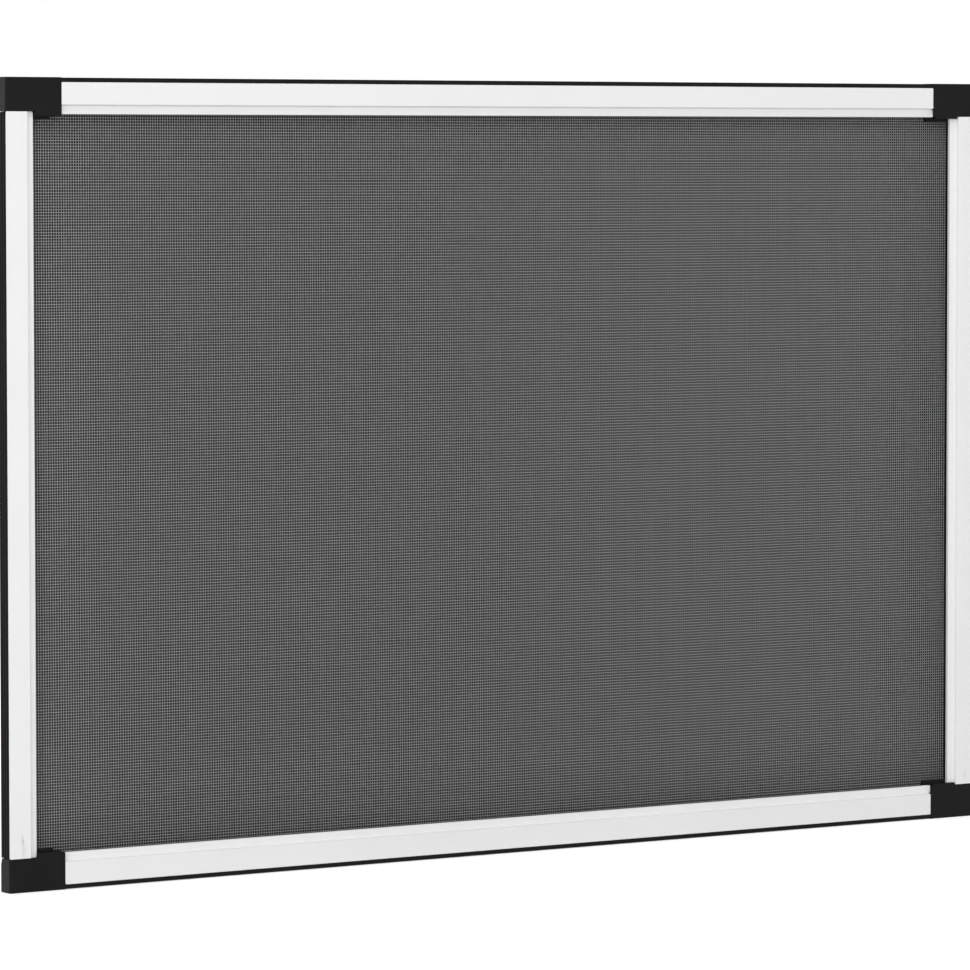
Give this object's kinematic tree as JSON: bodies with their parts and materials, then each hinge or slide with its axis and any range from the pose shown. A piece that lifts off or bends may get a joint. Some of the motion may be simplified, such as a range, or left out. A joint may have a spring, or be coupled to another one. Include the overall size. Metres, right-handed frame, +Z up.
{
  "type": "window screen frame",
  "caption": "Rectangular insect screen for a window: white metal members joined by black corner pieces around a tight woven cloth, with a seal along each outer side.",
  "frame": {"origin": "middle of the bottom edge, halfway through the depth", "axes": "+X to the right along the bottom edge, +Y from the front face to the rear face, +Z up"},
  "size_m": [0.75, 0.0114, 0.5],
  "materials": {
    "white_frame": "satin white powder coat",
    "black_plastic": "black moulded plastic, satin",
    "seal_rubber": "black ribbed seal, dull",
    "spline_rubber": "black spline, dull",
    "screen_cloth": "dark grey coated fibre cloth, open square weave"
  },
  "bodies": {
    "root": {"bottom_rail": "white_frame", "top_rail": "white_frame", "left_stile": "white_frame", "right_stile": "white_frame", "corner_bottom_left": "black_plastic", "corner_bottom_right": "black_plastic", "corner_top_left": "black_plastic", "corner_top_right": "black_plastic", "seal_bottom": "seal_rubber", "seal_top": "seal_rubber", "seal_left": "seal_rubber", "seal_right": "seal_rubber", "spline_bottom": "spline_rubber", "spline_top": "spline_rubber", "spline_left": "spline_rubber", "spline_right": "spline_rubber", "screen_cloth": "screen_cloth"}
  },
  "joints": []
}
